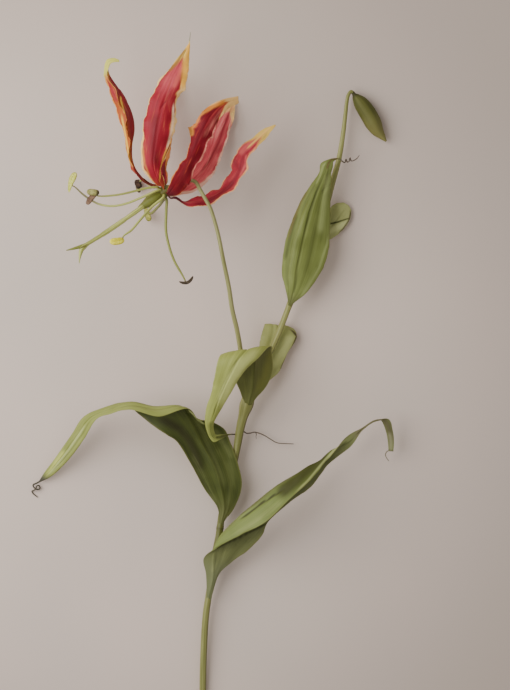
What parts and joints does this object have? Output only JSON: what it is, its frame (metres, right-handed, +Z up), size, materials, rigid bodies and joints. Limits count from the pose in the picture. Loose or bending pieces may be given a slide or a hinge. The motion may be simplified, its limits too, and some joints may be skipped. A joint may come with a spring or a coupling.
{
  "type": "gloriosa lily flower",
  "caption": "Gloriosa lily bloom with swept-back, yellow-edged crimson tepals and long stamens on its stalk, with a leafy stem whose leaves end in tendrils and a closed bud.",
  "frame": {"origin": "bottom centre of the lying cut stem", "axes": "+Y along the stem from its cut end towards the bud's hook, +X towards the side that the bud is on, +Z up from the surface that the stem lies on, towards the side that the bloom shows"},
  "size_m": [0.2032, 0.3782, 0.0716],
  "materials": {
    "stem": "semi-matte, pale olive green",
    "flower_stalk": "semi-matte, pale olive green",
    "tepal_1": "satin, crimson with yellow edges and tip",
    "tepal_2": "satin, crimson with yellow edges and tip",
    "tepal_3": "satin, crimson with yellow edges and tip",
    "tepal_4": "satin, crimson with yellow edges and tip",
    "tepal_5": "satin, crimson with yellow edges and tip",
    "tepal_6": "satin, crimson with yellow edges and tip",
    "filament_1": "satin, pale yellow green",
    "filament_2": "satin, pale yellow green",
    "filament_3": "satin, pale yellow green",
    "filament_4": "satin, pale yellow green",
    "filament_5": "satin, pale yellow green",
    "filament_6": "satin, pale yellow green",
    "anther_1": "powdery, bright yellow",
    "anther_2": "powdery, grey brown",
    "anther_3": "powdery, dark brown",
    "anther_4": "powdery, bright yellow",
    "anther_5": "powdery, yellow green",
    "anther_6": "powdery, dark brown",
    "pistil": "satin, olive green",
    "leaf_1": "satin, olive green, darker underneath",
    "leaf_2": "satin, olive green, darker underneath",
    "leaf_3": "satin, olive green, darker underneath",
    "leaf_4": "satin, olive green, darker underneath",
    "leaf_5": "satin, olive green, darker underneath",
    "leaf_6": "satin, olive green, darker underneath",
    "bud": "satin, dark olive green"
  },
  "bodies": {
    "root": {"stem": "stem", "flower_stalk": "flower_stalk", "tepal_1": "tepal_1", "tepal_2": "tepal_2", "tepal_3": "tepal_3", "tepal_4": "tepal_4", "tepal_5": "tepal_5", "tepal_6": "tepal_6", "filament_1": "filament_1", "filament_2": "filament_2", "filament_3": "filament_3", "filament_4": "filament_4", "filament_5": "filament_5", "filament_6": "filament_6", "anther_1": "anther_1", "anther_2": "anther_2", "anther_3": "anther_3", "anther_4": "anther_4", "anther_5": "anther_5", "anther_6": "anther_6", "pistil": "pistil", "leaf_1": "leaf_1", "leaf_2": "leaf_2", "leaf_3": "leaf_3", "leaf_4": "leaf_4", "leaf_5": "leaf_5", "leaf_6": "leaf_6", "bud": "bud"}
  },
  "joints": []
}
